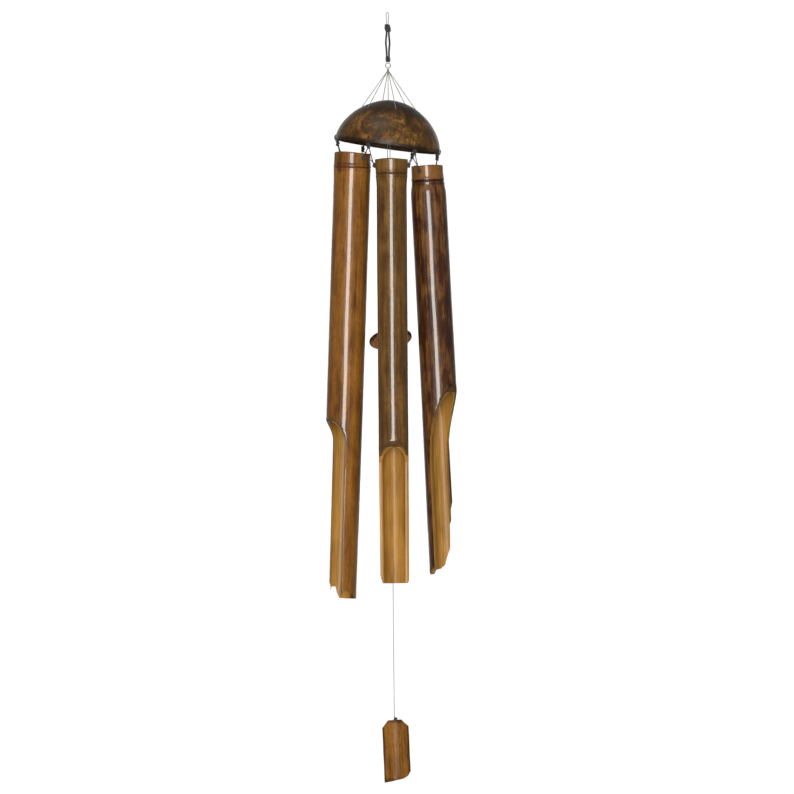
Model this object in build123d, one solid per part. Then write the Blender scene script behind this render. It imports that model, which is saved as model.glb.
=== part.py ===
from build123d import *

import os
from math import cos, hypot, pi, radians, sin, tan

# Hanging wind chime: six bamboo tubes under half a coconut shell, a wooden clapper disc and a bamboo sail.
# Millimetres, +Z up, +X to the chime's right, -Y towards the front.
# The origin is the top of the hanging thread, where a hook or nail holds the chime.

RUNNING_GAP = 0.3  # clearance between pieces that move against each other
BEND_SHARE = 0.45  # how much of the shorter run beside it a cord's bend may take

# Hanging cord, its knots and the wire ring
THREAD_DIAMETER = 0.9
THREAD_HALF_WIDTH = 1.5
HANG_KNOT_TOP = -14.0
HANG_KNOT_DIAMETER = 7.6
HANG_KNOT_HEIGHT = 9.5
CORD_DIAMETER = 2.4
CORD_HALF_SPACING = 1.25
CORD_EYE_HALF_WIDTH = 2.5
END_KNOT_TOP = -52.0
END_KNOT_DIAMETER = 6.0
END_KNOT_HEIGHT = 6.7
RING_WIRE = 1.2
RING_OUTER = 7.0

# Nylon lines
LINE_DIAMETER = 0.9
LINE_KNOT_DIAMETER = 3.0
SUPPORT_COUNT = 6
SUPPORT_FIRST_ANGLE = 15.0
SUPPORT_CIRCLE = 33.0
SUPPORT_SHIFT = -5.0  # the drilled circle lies off the shell's axis, over its centre of mass
SUPPORT_TAIL = 10.0  # how far a line runs on inside the shell, to its knot
SUPPORT_KNOT_DIAMETER = 3.4

# Half coconut shell
DOME_RADIUS = 62.0
DOME_HEIGHT = 54.5
DOME_WALL = 4.0
DOME_EXPONENT = 1.8  # a little more pointed than an ellipse
DOME_STEPS = 14
DOME_CENTRE = (-1.6, 0.0, -157.4)  # centre of the rim's plane
DOME_TILT = 8.6  # the right side hangs lower
DRILLED_HOLE = 2.6
CROWN_SHIFT = -8.0  # the clapper's hole, straight under the ring

# Rim knots: the angle is 0 at the front and grows towards the right
RIM_ANGLES = (-87.0, -22.0, 33.0, 92.0, 150.0, 210.0)
RIM_CIRCLE = 58.8
RIM_KNOT_DIAMETER = 4.2
RIM_KNOT_DROP = 5.2
RIM_HOLE_HEIGHT = 5.0

# Bamboo tubes
TUBE_CIRCLE = 50.7
BAMBOO_WALL = 4.6
NODE_WALL = 3.0
STRING_DIAMETER = 1.2
STRING_BEND = 1.2
STRING_HOLE = 2.4
STRING_DEPTH = 7.0  # from a tube's top edge to its string holes
SCOOP_STEPS = 8
CUTTER_MARGIN = 8.0  # how far a cutting shape stands past the wood
STRING_OFFSET = 1.1  # a string's middle line stands this far off the widest part of the cup

# Clapper
CROWN_KNOT_DIAMETER = 4.8
STRAND_HALF_SPACING = 1.4
DISC_DIAMETER = 50.0
DISC_THICKNESS = 6.0
DISC_CENTRE = (0.0, 0.0, -382.5)
DISC_FRONT_UP = 23.0
DISC_RIGHT_UP = 9.0
DISC_KNOT_DIAMETER = 5.0

# Sail
SAIL_TOP = -828.0
SAIL_WIDTH = 31.0
SAIL_LEAN = 2.0
SAIL_CURVE = 27.0  # outside radius of the bamboo that the sail was split from
SAIL_WALL = 4.5
SAIL_KNOT_DIAMETER = 4.6


class Tube:
    """One bamboo tube: lengths in mm along its own axis, angles in degrees."""

    def __init__(self, name, angle, leans, top, length, cup, widths, scoop, corners):
        self.name = name
        self.angle = angle  # where it hangs on the circle, 0 at the front
        self.lean, self.sway = leans  # how far its foot leans outwards, and sideways
        self.top = top
        self.length = length
        self.cup = cup  # depth of the open cup above the bamboo's node
        self.cup_width, self.node_width, self.body_width, self.foot_width = widths
        self.scoop = scoop
        self.corners = corners  # the tongue's trimmed corners, as (across, above the foot) points


class Scoop:
    """The stretch of a tube that is cut away in front, which leaves a long tongue."""

    def __init__(self, length, arch, entry, finish, depths, turn):
        self.length = length  # from the foot up to the cut's highest point
        self.arch = arch  # how far down the cut reaches its full depth
        self.entry, self.finish = entry, finish  # how gently it enters the wood and ends
        self.depths = depths  # full depth past the tube's axis, at the arch and at the foot
        self.turn = turn  # where it faces, from the tube's outer side


LEFT_CORNERS = (((-22.0, 20.0), (-16.8, 13.0), (-16.5, 6.0), (-15.6, 0.0)), ((22.0, 11.0), (17.0, 0.0)))
FRONT_CORNERS = (((-19.0, 15.0), (-13.5, 0.0)), ((19.0, 11.0), (15.5, 0.0)))
RAGGED_EDGE = ((22.0, 63.0), (17.0, 57.0), (16.7, 43.0), (15.3, 26.5), (13.8, 18.3), (12.3, 10.0), (8.2, 6.0))
RIGHT_CORNERS = (((-22.0, 11.0), (-13.0, 4.0), (-6.0, 0.0)), (*RAGGED_EDGE, (1.3, 4.8), (-4.0, 0.0)))
SMALL_CORNERS = (((-17.5, 12.0), (-11.0, 0.0)), ((17.5, 12.0), (11.0, 0.0)))

TUBES = (
    Tube("front_left", -56.5, (2.85, 0.0), -166.0, 518.0, 16.0, (43.0, 45.6, 43.2, 42.6),
         Scoop(209.0, 26.0, 1.0, 1.85, (-5.0, -3.5), -11.5), LEFT_CORNERS),
    Tube("front", 3.5, (2.9, 0.25), -174.5, 491.5, 16.0, (38.6, 38.8, 35.4, 34.6),
         Scoop(168.0, 28.0, 1.5, 1.0, (1.5, 4.5), 0.0), FRONT_CORNERS),
    Tube("front_right", 61.5, (2.65, 0.0), -181.0, 476.0, 17.0, (37.2, 40.0, 41.6, 42.4),
         Scoop(218.0, 94.0, 1.0, 2.3, (3.8, 4.6), -3.5), RIGHT_CORNERS),
    Tube("back_right", 116.0, (2.9, 0.0), -179.0, 405.0, 15.0, (32.0, 33.6, 32.6, 32.4),
         Scoop(182.0, 34.0, 1.0, 1.9, (0.0, 0.0), 0.0), SMALL_CORNERS),
    Tube("back", 176.5, (2.9, 0.0), -173.5, 440.0, 16.0, (29.6, 31.0, 29.8, 29.6),
         Scoop(160.0, 30.0, 1.2, 1.4, (0.0, 0.0), 0.0), SMALL_CORNERS),
    Tube("back_left", -121.0, (2.9, 0.0), -166.0, 428.0, 15.0, (31.6, 33.0, 32.0, 31.8),
         Scoop(186.0, 32.0, 1.0, 1.8, (0.0, 0.0), 0.0), SMALL_CORNERS),
)


def rod(start, end, diameter):
    """A straight round line from one point to another."""
    run = Edge.make_line(start, end)
    return sweep(Plane(origin=run @ 0, z_dir=run % 0) * Circle(diameter / 2), path=run)


def bend_radii(points):
    """A bend at each corner of a route, as wide as the two runs beside it allow."""
    spots = [Vector(*point) for point in points]
    radii = []
    for before, corner, after in zip(spots, spots[1:], spots[2:]):
        coming, leaving = corner - before, after - corner
        half_turn = radians(coming.get_angle(leaving)) / 2
        radii.append(BEND_SHARE * min(coming.length, leaving.length) / tan(half_turn))
    return radii


def bent_cord(name, points, diameter, radii=None):
    """A round cord along straight runs joined by tangent arcs; it prints the radii of its bends."""
    radii = radii or bend_radii(points)
    print(name, "bend radii in mm:", ", ".join(f"{radius:.1f}" for radius in radii))
    path = FilletPolyline(*points, radius=radii)
    section = Plane(origin=path @ 0, z_dir=path % 0) * Circle(diameter / 2)
    return sweep(section, path=path)


def ball(centre, diameter):
    return Pos(*centre) * Sphere(diameter / 2)


def barrel(top, height, diameter):
    """A knot pulled tight: a short upright barrel with rounded ends."""
    middle = Pos(0, 0, top - height / 2)
    return middle * fillet(Cylinder(diameter / 2, height).edges().filter_by(GeomType.CIRCLE), diameter * 0.36)


# ---- hanging cord ----

HANG_KNOT_BOTTOM = HANG_KNOT_TOP - HANG_KNOT_HEIGHT
END_KNOT_BOTTOM = END_KNOT_TOP - END_KNOT_HEIGHT
RING_PIVOT = END_KNOT_BOTTOM - RUNNING_GAP - RING_WIRE / 2
RING_CENTRE = RING_PIVOT - (RING_OUTER - RING_WIRE) / 2
LINE_KNOT_CENTRE = RING_CENTRE - RING_OUTER / 2 - RUNNING_GAP - LINE_KNOT_DIAMETER / 2
LINE_START = LINE_KNOT_DIAMETER / 2 + RUNNING_GAP


def hang_thread():
    """A narrow loop of nylon whose two ends are tied into the upper knot."""
    crown = -THREAD_DIAMETER / 2
    foot = HANG_KNOT_TOP - 3.0
    half = THREAD_HALF_WIDTH
    points = [(-0.6, 0, foot), (-half, 0, crown), (half, 0, crown), (0.6, 0, foot)]
    return bent_cord("hang_thread", points, THREAD_DIAMETER)


def hang_cord(side):
    """One strand of the doubled black cord; it bows out at the eye and ends inside both knots."""
    near = side * CORD_HALF_SPACING
    wide = side * CORD_EYE_HALF_WIDTH
    points = [
        (near, 0, END_KNOT_TOP - 3.0),
        (near, 0, END_KNOT_TOP + 7.0),
        (wide, 0, END_KNOT_TOP + 15.5),
        (near, 0, HANG_KNOT_BOTTOM - 2.5),
        (near * 0.98, 0, HANG_KNOT_BOTTOM + 3.0),
    ]
    return bent_cord("hang_cord", points, CORD_DIAMETER)


def top_ring():
    ring = Torus((RING_OUTER - RING_WIRE) / 2, RING_WIRE / 2)
    return Pos(0, 0, RING_CENTRE) * Rot(90, 0, 0) * ring


# ---- coconut shell ----

DOME_PLACE = Pos(*DOME_CENTRE) * Rot(0, DOME_TILT, 0)


def dome_height_at(radius, rim=DOME_RADIUS, height=DOME_HEIGHT):
    share = min(abs(radius) / rim, 1.0)
    return height * (1 - share**DOME_EXPONENT) ** (1 / DOME_EXPONENT)


def dome_curve(rim, height):
    """Half of the shell's outline, from its rim to its crown."""
    points = []
    for step in range(DOME_STEPS + 1):
        angle = step / DOME_STEPS * pi / 2
        points.append((rim * cos(angle) ** (2 / DOME_EXPONENT), height * sin(angle) ** (2 / DOME_EXPONENT)))
    points[-1] = (0, height)
    return points


def world(place, point):
    """A point of a tilted piece's own frame, in the chime's frame."""
    return (place * Pos(*point)).position


def round_place(radius, angle, height):
    """A point on a circle about the Z axis, 0 degrees at the front."""
    turn = radians(angle)
    return (radius * sin(turn), -radius * cos(turn), height)


def support_place(index):
    """Where a support line meets the outside of the shell, in the shell's frame."""
    x, y, _ = round_place(SUPPORT_CIRCLE, SUPPORT_FIRST_ANGLE + 360 / SUPPORT_COUNT * index, 0)
    x += SUPPORT_SHIFT
    return (x, y, dome_height_at(hypot(x, y)))


def support_ends(index):
    """A support line's two ends: beside the ring's knot, and inside the shell."""
    knot = Vector(0, 0, LINE_KNOT_CENTRE)
    hole = world(DOME_PLACE, support_place(index))
    direction = (hole - knot).normalized()
    return knot + direction * LINE_START, hole + direction * SUPPORT_TAIL


def crown_hole():
    return world(DOME_PLACE, (CROWN_SHIFT, 0, dome_height_at(CROWN_SHIFT)))


def coconut_dome():
    """The shell: turned outside and inside, then drilled for each line and rim string."""
    with BuildPart() as shell:
        with BuildSketch(Plane.XZ):
            with BuildLine():
                outer = Spline(*dome_curve(DOME_RADIUS, DOME_HEIGHT), tangents=[(0, 1), (-1, 0)])
                inner = Spline(
                    *dome_curve(DOME_RADIUS - DOME_WALL, DOME_HEIGHT - DOME_WALL),
                    tangents=[(0, 1), (-1, 0)],
                )
                Line(outer @ 1, inner @ 1)
                Line(outer @ 0, inner @ 0)
            make_face()
        revolve(axis=Axis.Z)
    dome = DOME_PLACE * shell.part
    for index in range(SUPPORT_COUNT):
        start, end = support_ends(index)
        dome -= rod(start, end, DRILLED_HOLE)
    for angle in RIM_ANGLES:
        inside = world(DOME_PLACE, round_place(DOME_RADIUS - 3 * DOME_WALL, angle, RIM_HOLE_HEIGHT))
        outside = world(DOME_PLACE, round_place(DOME_RADIUS + DOME_WALL, angle, RIM_HOLE_HEIGHT))
        dome -= rod(inside, outside, DRILLED_HOLE)
    crown = crown_hole()
    dome -= Pos(0, 0, crown.Z) * Cylinder(DRILLED_HOLE / 2, 4 * DOME_WALL)
    return dome


def support_knots():
    """The stopper knot of each support line, inside the shell."""
    return [ball(support_ends(index)[1], SUPPORT_KNOT_DIAMETER) for index in range(SUPPORT_COUNT)]


def rim_knot_centre(angle):
    return world(DOME_PLACE, round_place(RIM_CIRCLE, angle, 0)) - Vector(0, 0, RIM_KNOT_DROP)


def rim_knots():
    """Black knots under the rim, each with a stem that is bound round the shell's edge."""
    knots = []
    for angle in RIM_ANGLES:
        centre = rim_knot_centre(angle)
        edge = world(DOME_PLACE, round_place(RIM_CIRCLE, angle, 0))
        stem = rod(centre, edge + Vector(0, 0, 0.6), RIM_KNOT_DIAMETER * 0.8)
        knots.append(ball(centre, RIM_KNOT_DIAMETER) + stem)
    return knots


# ---- clapper and sail ----

CROWN_KNOT_CENTRE = crown_hole().Z - 2.2 * DOME_WALL
STOP_KNOT_CENTRE = DISC_CENTRE[2] + DISC_THICKNESS / 2 + DISC_KNOT_DIAMETER * 0.4
DISC_KNOT_CENTRE = DISC_CENTRE[2] - DISC_THICKNESS / 2 - DISC_KNOT_DIAMETER / 2 - 2 * RUNNING_GAP


def clapper_line(side):
    """One strand of the doubled line between the shell's crown and the disc."""
    x = side * STRAND_HALF_SPACING
    reach = CROWN_KNOT_DIAMETER / 2 + RUNNING_GAP
    top = CROWN_KNOT_CENTRE - (reach**2 - x**2) ** 0.5 - RUNNING_GAP
    return rod((x, 0, top), (x, 0, STOP_KNOT_CENTRE), LINE_DIAMETER)


def clapper_disc():
    disc = Cylinder(DISC_DIAMETER / 2, DISC_THICKNESS)
    disc = chamfer(disc.edges(), 0.8)
    disc -= Cylinder(DRILLED_HOLE / 2, 2 * DISC_THICKNESS)
    return Pos(*DISC_CENTRE) * Rot(-DISC_FRONT_UP, 0, 0) * Rot(0, -DISC_RIGHT_UP, 0) * disc


def sail_line():
    top = DISC_KNOT_CENTRE - DISC_KNOT_DIAMETER / 2 - RUNNING_GAP
    return rod((0, 0, top), (0, 0, SAIL_TOP + SAIL_KNOT_DIAMETER * 0.3), LINE_DIAMETER)


def sail():
    """A slat split from a wide bamboo: an arc in section, with trimmed corners and a slanted foot."""
    half = SAIL_WIDTH / 2
    outline = [
        (-half + 7.5, 0),
        (half - 8.5, 0),
        (half, -8.5),
        (half, -61.5),
        (half - 8.0, -69.0),
        (-half + 2.5, -73.0),
        (-half, -72.0),
        (-half, -9.5),
    ]
    with BuildPart() as slat:
        with BuildSketch():
            with Locations((0, SAIL_CURVE)):
                Circle(SAIL_CURVE)
                Circle(SAIL_CURVE - SAIL_WALL, mode=Mode.SUBTRACT)
        extrude(amount=-3 * SAIL_WIDTH)
        with BuildSketch(Plane.XZ):
            Polygon(*outline, align=None)
        extrude(amount=SAIL_CURVE / 2, both=True, mode=Mode.INTERSECT)
    return Pos(0.9, -SAIL_WALL / 2, SAIL_TOP) * Rot(0, -SAIL_LEAN, 0) * slat.part


# ---- bamboo tubes ----


def tube_place(tube):
    """A tube's own frame: its top at the origin, its axis down -Z, its outer side towards -Y."""
    spot = Pos(*round_place(TUBE_CIRCLE, tube.angle, tube.top))
    return spot * Rot(0, 0, tube.angle) * Rot(-tube.lean, 0, 0) * Rot(0, tube.sway, 0)


def tube_outline(tube):
    """Half of the tube's outside, from its top edge to its foot."""
    return [
        (tube.cup_width / 2, 0),
        (tube.cup_width / 2 + 0.2, -tube.cup * 0.7),
        (tube.node_width / 2, -tube.cup),
        (tube.node_width / 2, -tube.cup - NODE_WALL),
        (tube.body_width / 2, -tube.cup - 4 * NODE_WALL),
        (tube.foot_width / 2, -tube.length),
    ]


def radius_at(tube, depth):
    """The outside radius of a tube's body at a depth under its top edge."""
    start = tube.cup + 4 * NODE_WALL
    share = (depth - start) / (tube.length - start)
    return (tube.body_width + (tube.foot_width - tube.body_width) * share) / 2


def scoop_curve(tube):
    """The cut seen from the tube's side: (across, along) points from the outside to its full depth."""
    scoop = tube.scoop
    top = tube.length - scoop.length
    reach = radius_at(tube, top)
    points = []
    for step in range(SCOOP_STEPS + 1):
        share = step / SCOOP_STEPS
        depth = 1 - (1 - share**scoop.entry) ** scoop.finish
        points.append((-reach + (reach + scoop.depths[0]) * depth, -top - scoop.arch * share))
    return points


def scoop_cutter(tube):
    """The wood that is cut away: a curve into the tube, then straight down to its foot."""
    curve = scoop_curve(tube)
    clear = curve[0][0] - CUTTER_MARGIN
    foot = -tube.length - CUTTER_MARGIN
    with BuildPart() as cutter:
        with BuildSketch(Plane.YZ):
            with BuildLine():
                Spline(*curve)
                Polyline(curve[-1], (tube.scoop.depths[1], foot), (clear, foot), (clear, curve[0][1]), curve[0])
            make_face()
        extrude(amount=tube.node_width, both=True)
    return cutter.part


def corner_cutter(tube, corner):
    """A piece off one lower corner of the tongue."""
    trim = [(across, above - tube.length) for across, above in corner]
    foot = -tube.length - CUTTER_MARGIN
    with BuildPart() as cutter:
        with BuildSketch(Plane.XZ):
            Polygon(*trim, (trim[-1][0], foot), (trim[0][0], foot), align=None)
        extrude(amount=tube.node_width, both=True)
    return cutter.part


def bamboo_tube(tube):
    """An open cup, the solid wall of the bamboo's node, a long sounding body and a scooped tongue."""
    outline = tube_outline(tube)
    inner = [
        (max(x - BAMBOO_WALL, 1.0), z) for x, z in (outline[0], outline[1], outline[4], outline[5])
    ]
    with BuildPart() as body:
        with BuildSketch(Plane.XZ):
            Polygon(*outline, (0, -tube.length), (0, 0), align=None)
        revolve(axis=Axis.Z)
        with BuildSketch(Plane.XZ):
            Polygon((0, 1), (inner[0][0], 1), inner[0], (inner[1][0], -tube.cup), (0, -tube.cup), align=None)
        revolve(axis=Axis.Z, mode=Mode.SUBTRACT)
        with BuildSketch(Plane.XZ):
            below = -tube.cup - NODE_WALL
            foot = -tube.length - 1
            Polygon((0, below), (inner[2][0], below), (inner[3][0], foot), (0, foot), align=None)
        revolve(axis=Axis.Z, mode=Mode.SUBTRACT)
    facing = Rot(0, 0, tube.scoop.turn)
    shape = body.part - facing * scoop_cutter(tube)
    for corner in tube.corners:
        shape -= facing * corner_cutter(tube, corner)
    holes = Pos(0, 0, -STRING_DEPTH) * Rot(0, 90, 0) * Cylinder(STRING_HOLE / 2, 2 * tube.node_width)
    return tube_place(tube) * (shape - holes)


def string_route(tube, knots):
    """From one rim knot down to the cup, through both its holes, and up to the next rim knot."""
    reach = tube.node_width / 2 + STRING_OFFSET
    corners = [world(tube_place(tube), (side * reach, 0, -STRING_DEPTH)) for side in (-1, 1)]
    gap = RIM_KNOT_DIAMETER / 2 + 2 * RUNNING_GAP
    ends = [knot + (corner - knot).normalized() * gap for knot, corner in zip(knots, corners)]
    return [ends[0], *corners, ends[1]]


def tube_knots(index):
    """The two rim knots that a tube hangs from, on its left and its right as seen from outside."""
    around = len(RIM_ANGLES)
    return [rim_knot_centre(RIM_ANGLES[(index + step) % around]) for step in (0, 1)]


def tube_string(index):
    """The string is pulled tight over the edges of its two holes, so its bends there are small."""
    tube = TUBES[index]
    route = string_route(tube, tube_knots(index))
    return bent_cord(f"string_{tube.name}", route, STRING_DIAMETER, [STRING_BEND, STRING_BEND])


# ---- the chime ----


def build():
    """Every node's solids by name."""
    nodes = {
        "hang_thread": hang_thread(),
        "hang_knot": barrel(HANG_KNOT_TOP, HANG_KNOT_HEIGHT, HANG_KNOT_DIAMETER),
        "hang_cord_left": hang_cord(-1),
        "hang_cord_right": hang_cord(1),
        "cord_end_knot": barrel(END_KNOT_TOP, END_KNOT_HEIGHT, END_KNOT_DIAMETER),
        "top_ring": top_ring(),
        "line_knot": ball((0, 0, LINE_KNOT_CENTRE), LINE_KNOT_DIAMETER),
        "coconut_dome": coconut_dome(),
        "support_knots": support_knots(),
        "rim_knots": rim_knots(),
        "clapper_top_line": rod(
            (0, 0, LINE_KNOT_CENTRE - LINE_START),
            (0, 0, CROWN_KNOT_CENTRE + CROWN_KNOT_DIAMETER / 2 + RUNNING_GAP),
            LINE_DIAMETER,
        ),
        "crown_knot": ball((0, 0, CROWN_KNOT_CENTRE), CROWN_KNOT_DIAMETER),
        "clapper_line_left": clapper_line(-1),
        "clapper_line_right": clapper_line(1),
        "clapper_stop_knot": ball((0, 0, STOP_KNOT_CENTRE), DISC_KNOT_DIAMETER),
        "clapper_disc": clapper_disc(),
        "clapper_knot": ball((0, 0, DISC_KNOT_CENTRE), DISC_KNOT_DIAMETER),
        "sail_line": sail_line(),
        "sail_knot": ball((1.5, 0, SAIL_TOP + 0.8), SAIL_KNOT_DIAMETER),
        "sail": sail(),
    }
    for index in range(SUPPORT_COUNT):
        nodes[f"support_line_{index + 1}"] = rod(*support_ends(index), LINE_DIAMETER)
    for index, tube in enumerate(TUBES):
        nodes[f"tube_{tube.name}"] = bamboo_tube(tube)
        nodes[f"string_{tube.name}"] = tube_string(index)
    return nodes


def save(nodes):
    os.makedirs("parts", exist_ok=True)
    for name, shape in nodes.items():
        if isinstance(shape, list):
            shape = Compound(children=shape)
        export_step(shape, f"parts/{name}.step")


if __name__ == "__main__":
    save(build())
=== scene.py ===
import math
import random
from collections import namedtuple

import bmesh
import bpy
from mathutils import Matrix, Vector, noise


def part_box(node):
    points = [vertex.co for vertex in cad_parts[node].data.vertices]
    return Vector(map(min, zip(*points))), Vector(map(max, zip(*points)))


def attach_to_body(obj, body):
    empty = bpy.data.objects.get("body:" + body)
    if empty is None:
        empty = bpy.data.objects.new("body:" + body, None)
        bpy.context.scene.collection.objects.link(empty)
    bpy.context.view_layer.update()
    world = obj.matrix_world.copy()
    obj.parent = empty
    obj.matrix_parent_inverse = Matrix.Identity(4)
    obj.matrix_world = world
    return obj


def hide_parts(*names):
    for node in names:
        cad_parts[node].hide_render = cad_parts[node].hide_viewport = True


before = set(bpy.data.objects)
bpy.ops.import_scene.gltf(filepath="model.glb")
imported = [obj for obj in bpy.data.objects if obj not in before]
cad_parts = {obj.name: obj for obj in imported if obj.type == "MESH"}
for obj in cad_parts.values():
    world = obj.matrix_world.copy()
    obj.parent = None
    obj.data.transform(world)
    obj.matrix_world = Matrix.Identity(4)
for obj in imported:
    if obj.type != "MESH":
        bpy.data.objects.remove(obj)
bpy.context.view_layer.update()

# A wind chime: bamboo tubes, a coconut shell, a wooden disc and a bamboo sail, on nylon lines
# and black cord. Metres, +Z up, -Y towards the camera. MM turns millimetres into metres.

MM = 0.001

# ---- design values, in millimetres ----

LINE_DIAMETER = 0.9
CORD_DIAMETER = 2.4
STRING_DIAMETER = 1.2
DOME_RADIUS, DOME_HEIGHT, DOME_WALL, DOME_EXPONENT = 62.0, 54.5, 4.0, 1.8
DOME_CENTRE, DOME_TILT = (-1.6, 0.0, -157.4), 8.6
DRILLED_HOLE = 2.6
SUPPORT_ANGLES = [15.0 + 60.0 * index for index in range(6)]
SUPPORT_CIRCLE, SUPPORT_SHIFT, SUPPORT_TAIL = 33.0, -5.0, 10.0
RIM_ANGLES = (-87.0, -22.0, 33.0, 92.0, 150.0, 210.0)
RIM_CIRCLE, RIM_KNOT_DIAMETER, RIM_KNOT_DROP, RIM_HOLE_HEIGHT = 58.8, 4.2, 5.2, 5.0
TUBE_CIRCLE, BAMBOO_WALL, NODE_WALL = 50.7, 4.6, 3.0
STRING_HOLE, STRING_DEPTH, STRING_OFFSET, HOLE_KNOT_OFFSET = 2.4, 7.0, 1.1, 0.6
DISC_DIAMETER, DISC_THICKNESS, DISC_CENTRE = 50.0, 6.0, (0.0, 0.0, -382.5)
DISC_FRONT_UP, DISC_RIGHT_UP = 23.0, 9.0
SAIL_TOP, SAIL_WIDTH, SAIL_LEAN, SAIL_CURVE, SAIL_WALL = -828.0, 31.0, 2.0, 27.0, 4.5


# A scoop is the stretch of a tube that is cut away in front, which leaves a long tongue: a curve
# arch long, whose start and end the powers entry and finish bend, then down between two depths.
Scoop = namedtuple("Scoop", "length arch entry finish depths turn")
# A tube has the sizes of its CAD node, and how its top edge slopes.
Tube = namedtuple("Tube", "name angle lean sway top length cup cup_width node_width body_width "
                  "foot_width scoop corners slope cup_tone look")

LEFT_CORNERS = (((-22.0, 20.0), (-16.8, 13.0), (-16.5, 6.0), (-15.6, 0.0)),
                ((22.0, 11.0), (17.0, 0.0)))
FRONT_CORNERS = (((-19.0, 15.0), (-13.5, 0.0)), ((19.0, 11.0), (15.5, 0.0)))
RAGGED_EDGE = ((22.0, 63.0), (17.0, 57.0), (16.7, 43.0), (15.3, 26.5), (13.8, 18.3),
               (12.3, 10.0), (8.2, 6.0), (1.3, 4.8), (-4.0, 0.0))
RIGHT_CORNERS = (((-22.0, 11.0), (-13.0, 4.0), (-6.0, 0.0)), RAGGED_EDGE)
SMALL_CORNERS = (((-17.5, 12.0), (-11.0, 0.0)), ((17.5, 12.0), (11.0, 0.0)))

TUBES = (
    Tube("front_left", -56.5, 2.85, 0.0, -166.0, 518.0, 16.0, 43.0, 45.6, 43.2, 42.6,
         Scoop(209.0, 26.0, 1.0, 1.85, (-5.0, -3.5), -11.5), LEFT_CORNERS,
         (-0.02, -0.02), -0.15, "amber"),
    Tube("front", 3.5, 2.9, 0.25, -174.5, 491.5, 16.0, 38.6, 38.8, 35.4, 34.6,
         Scoop(168.0, 28.0, 1.5, 1.0, (1.5, 4.5), 0.0), FRONT_CORNERS, (-0.01, 0.03), 0.4, "olive"),
    Tube("front_right", 61.5, 2.65, 0.0, -181.0, 476.0, 17.0, 37.2, 40.0, 41.6, 42.4,
         Scoop(218.0, 94.0, 1.0, 2.3, (3.8, 4.6), -3.5), RIGHT_CORNERS, (0.03, 0.02), 0.9, "dark"),
    Tube("back_right", 116.0, 2.9, 0.0, -179.0, 405.0, 15.0, 32.0, 33.6, 32.6, 32.4,
         Scoop(182.0, 34.0, 1.0, 1.9, (0.0, 0.0), 0.0), SMALL_CORNERS, (0.03, 0.04), 0.3, "olive"),
    Tube("back", 176.5, 2.9, 0.0, -173.5, 440.0, 16.0, 29.6, 31.0, 29.8, 29.6,
         Scoop(160.0, 30.0, 1.2, 1.4, (0.0, 0.0), 0.0), SMALL_CORNERS, (0.04, -0.03), 0.1, "amber"),
    Tube("back_left", -121.0, 2.9, 0.0, -166.0, 428.0, 15.0, 31.6, 33.0, 32.0, 31.8,
         Scoop(186.0, 32.0, 1.0, 1.8, (0.0, 0.0), 0.0), SMALL_CORNERS, (-0.03, 0.05), 0.6, "dark"),
)
SCOOP_STEPS = 26
CUTTER_MARGIN = 8.0


def linked(name, data):
    """A new object in the scene."""
    item = bpy.data.objects.new(name, data)
    bpy.context.scene.collection.objects.link(item)
    return item


def centre_of(node):
    low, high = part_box(node)
    return (Vector(low) + Vector(high)) / 2


def top_of(node):
    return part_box(node)[1][2]


def bottom_of(node):
    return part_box(node)[0][2]


def round_place(radius, angle, height=0.0):
    turn = math.radians(angle)
    return Vector((radius * math.sin(turn), -radius * math.cos(turn), height))


def turned(x=0.0, y=0.0, z=0.0):
    """A rotation about Z, then Y, then X, in degrees, of a piece's own frame."""
    rotation = Matrix.Rotation(math.radians(z), 4, "Z")
    rotation = rotation @ Matrix.Rotation(math.radians(y), 4, "Y")
    return rotation @ Matrix.Rotation(math.radians(x), 4, "X")


DOME_PLACE = Matrix.Translation(Vector(DOME_CENTRE) * MM) @ turned(y=DOME_TILT)


def tube_place(tube):
    spot = round_place(TUBE_CIRCLE, tube.angle, tube.top) * MM
    return Matrix.Translation(spot) @ turned(x=-tube.lean, z=tube.angle) @ turned(y=tube.sway)


# ---- camera: level, far away, with the small roll of the view ----

CAMERA_DISTANCE = 6.0
VIEW_WIDTH = 0.929
VIEW_CENTRE = Vector((0.0068, 0.0, -0.4504))
CAMERA_ROLL = -0.56
SENSOR = 36.0


def add_camera():
    data = bpy.data.cameras.new("camera")
    data.sensor_width = SENSOR
    data.lens = SENSOR * CAMERA_DISTANCE / VIEW_WIDTH
    camera = linked("camera", data)
    place = Matrix.Translation(VIEW_CENTRE + Vector((0, -CAMERA_DISTANCE, 0)))
    camera.matrix_world = place @ Matrix.Rotation(math.radians(90), 4, "X") @ turned(z=CAMERA_ROLL)
    bpy.context.scene.camera = camera


add_camera()

# ---- materials ----


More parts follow.
